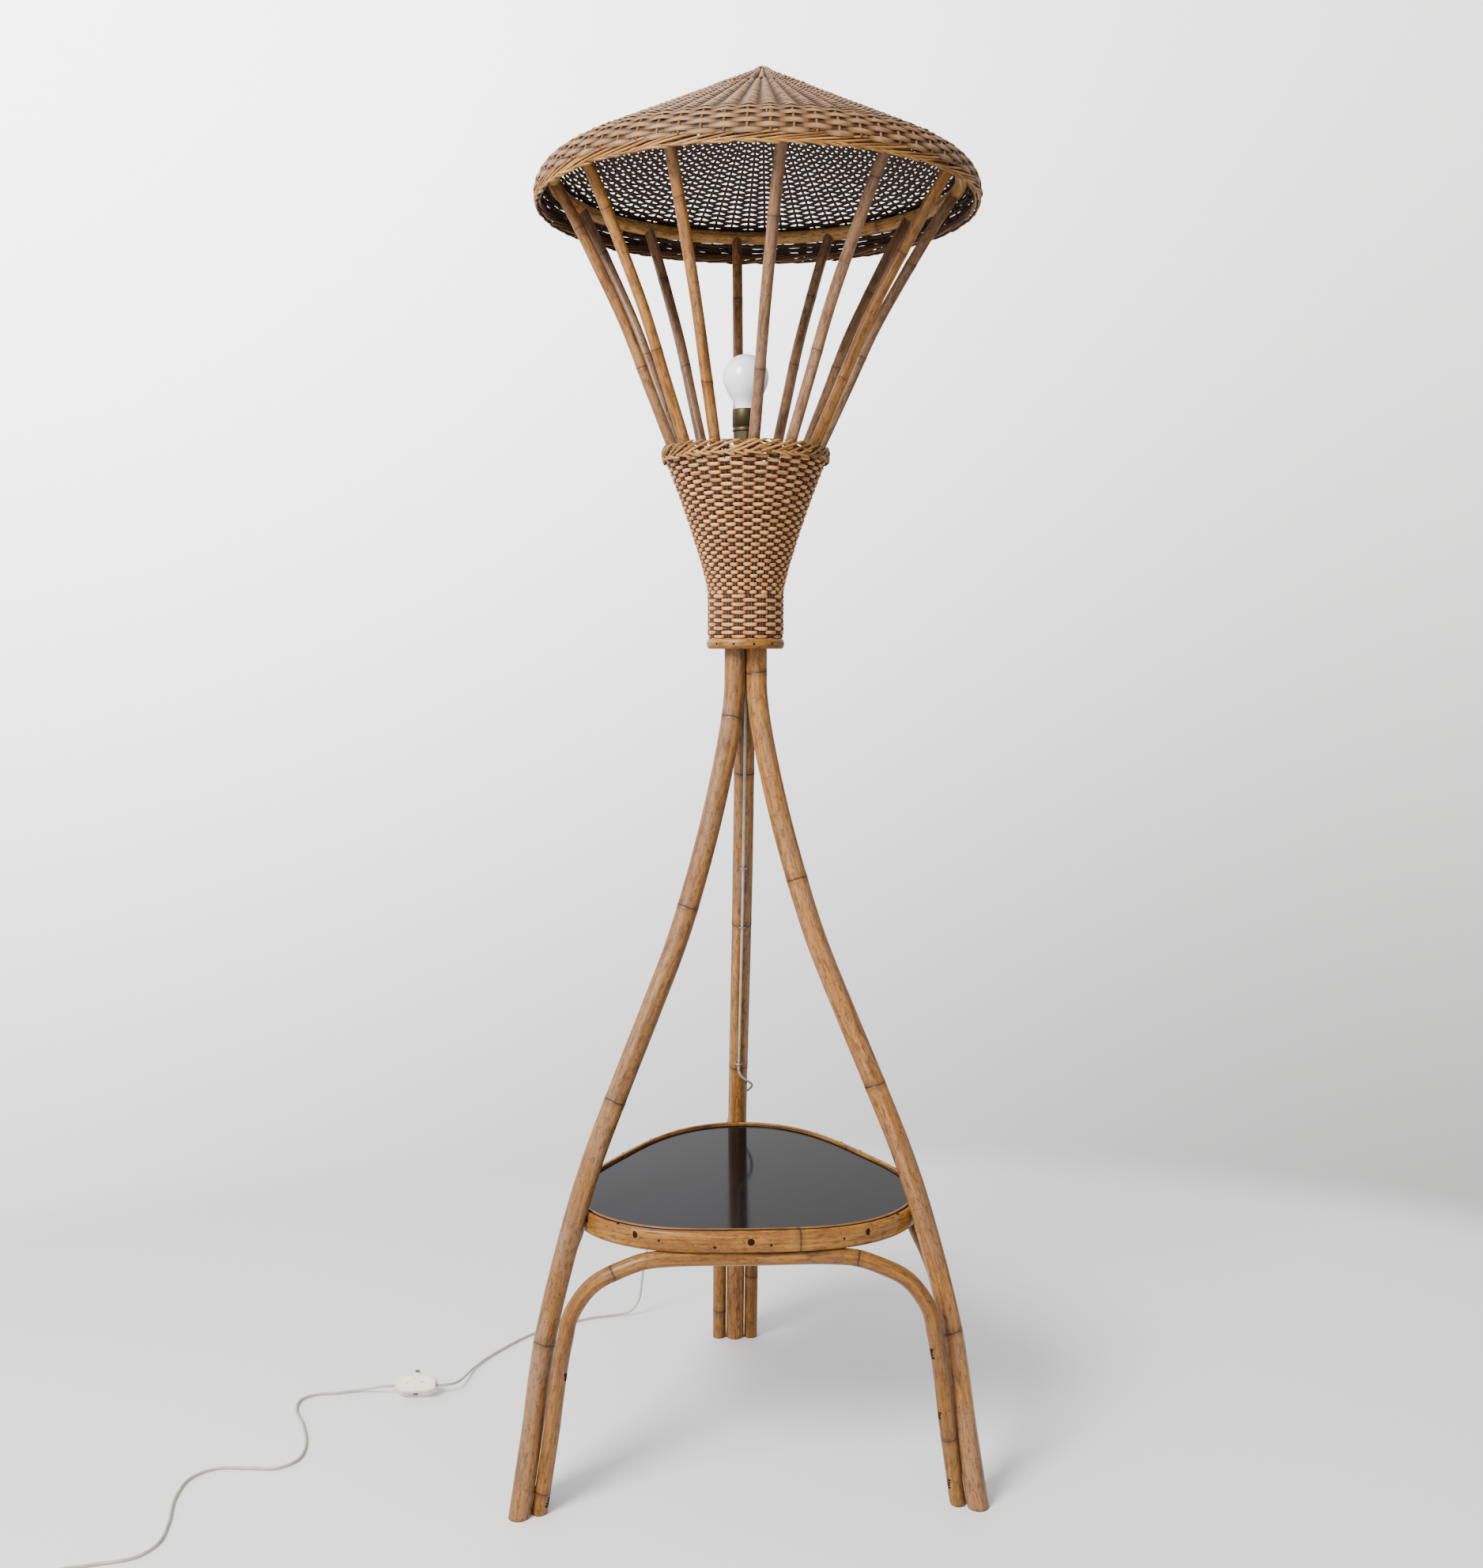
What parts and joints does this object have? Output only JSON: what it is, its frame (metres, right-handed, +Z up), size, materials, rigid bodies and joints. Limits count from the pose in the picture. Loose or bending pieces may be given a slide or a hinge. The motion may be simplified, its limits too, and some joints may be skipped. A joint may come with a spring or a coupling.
{
  "type": "rattan floor lamp",
  "caption": "Floor lamp of bent rattan poles with a black glass table between its feet, a woven collar, thin rods flaring up to a wide woven cone shade, and a corded in-line switch.",
  "frame": {"origin": "on the floor, under the middle of the lamp's box without its free cord", "axes": "+Z up along the trunk, +Y from the front arch to the back pole, +X to the right as seen from the front"},
  "size_m": [1.1271, 0.756, 1.7776],
  "materials": {
    "pole_cane": "satin varnish",
    "arch_cane": "satin varnish",
    "rod_cane": "satin varnish",
    "woven_cane": "matt",
    "braided_cane": "satin",
    "rim_cane": "satin varnish",
    "black_board": "matt paint",
    "black_glass": "polished",
    "block_wood": "plain",
    "steel": "plain",
    "aged_brass": "tarnished",
    "insulator": "moulded",
    "frosted_glass": "frosted",
    "cream_cord": "smooth",
    "cream_plastic": "moulded",
    "black_plastic": "moulded"
  },
  "bodies": {
    "lamp": {"leg_back": "pole_cane", "leg_front_left": "pole_cane", "leg_front_right": "pole_cane", "hoop": "pole_cane", "arch_front": "arch_cane", "arch_right": "arch_cane", "arch_left": "arch_cane", "rod_01": "rod_cane", "rod_02": "rod_cane", "rod_03": "rod_cane", "rod_04": "rod_cane", "rod_05": "rod_cane", "rod_06": "rod_cane", "rod_07": "rod_cane", "rod_08": "rod_cane", "rod_09": "rod_cane", "rod_10": "rod_cane", "rod_11": "rod_cane", "rod_12": "rod_cane", "collar_weave": "woven_cane", "shade_weave": "woven_cane", "shade_knot": "woven_cane", "collar_border": "braided_cane", "shade_border": "braided_cane", "table_rim": "rim_cane", "collar_base_ring": "rim_cane", "table_board": "black_board", "table_glass": "black_glass", "lamp_block": "block_wood", "block_screw_1": "steel", "block_screw_2": "steel", "block_screw_3": "steel", "nipple": "steel", "nipple_nut": "steel", "cord_clip_1": "steel", "cord_clip_2": "steel", "cord_clip_3": "steel", "switch_screw_1": "steel", "switch_screw_2": "steel", "plug_pin_1": "steel", "plug_pin_2": "steel", "holder_cap": "aged_brass", "holder_shell": "aged_brass", "holder_thread": "aged_brass", "holder_contact": "aged_brass", "holder_insulator": "insulator", "lamp_cord": "cream_cord", "cord_to_switch": "cream_cord", "cord_to_coil": "cream_cord", "cord_coil": "cream_cord", "cord_tail": "cream_cord", "switch_top": "cream_plastic", "switch_base": "cream_plastic", "plug": "cream_plastic", "cord_tie": "black_plastic"},
    "bulb": {"bulb_cap": "aged_brass", "bulb_glass": "frosted_glass"},
    "push_bar": {"switch_bar": "cream_plastic", "switch_bar_tip_near": "black_plastic", "switch_bar_tip_far": "black_plastic"}
  },
  "joints": [
    {"name": "bulb_turn", "type": "hinge", "parent": "lamp", "child": "bulb", "pos_m": [0, -0.0315, 1.35], "axis": [0, 0, 1], "range_deg": [0, 360]},
    {"name": "switch_press", "type": "slide", "parent": "lamp", "child": "push_bar", "axis": [0, 0.7071, 0.7071], "range_m": [-0.0055, 0]}
  ]
}
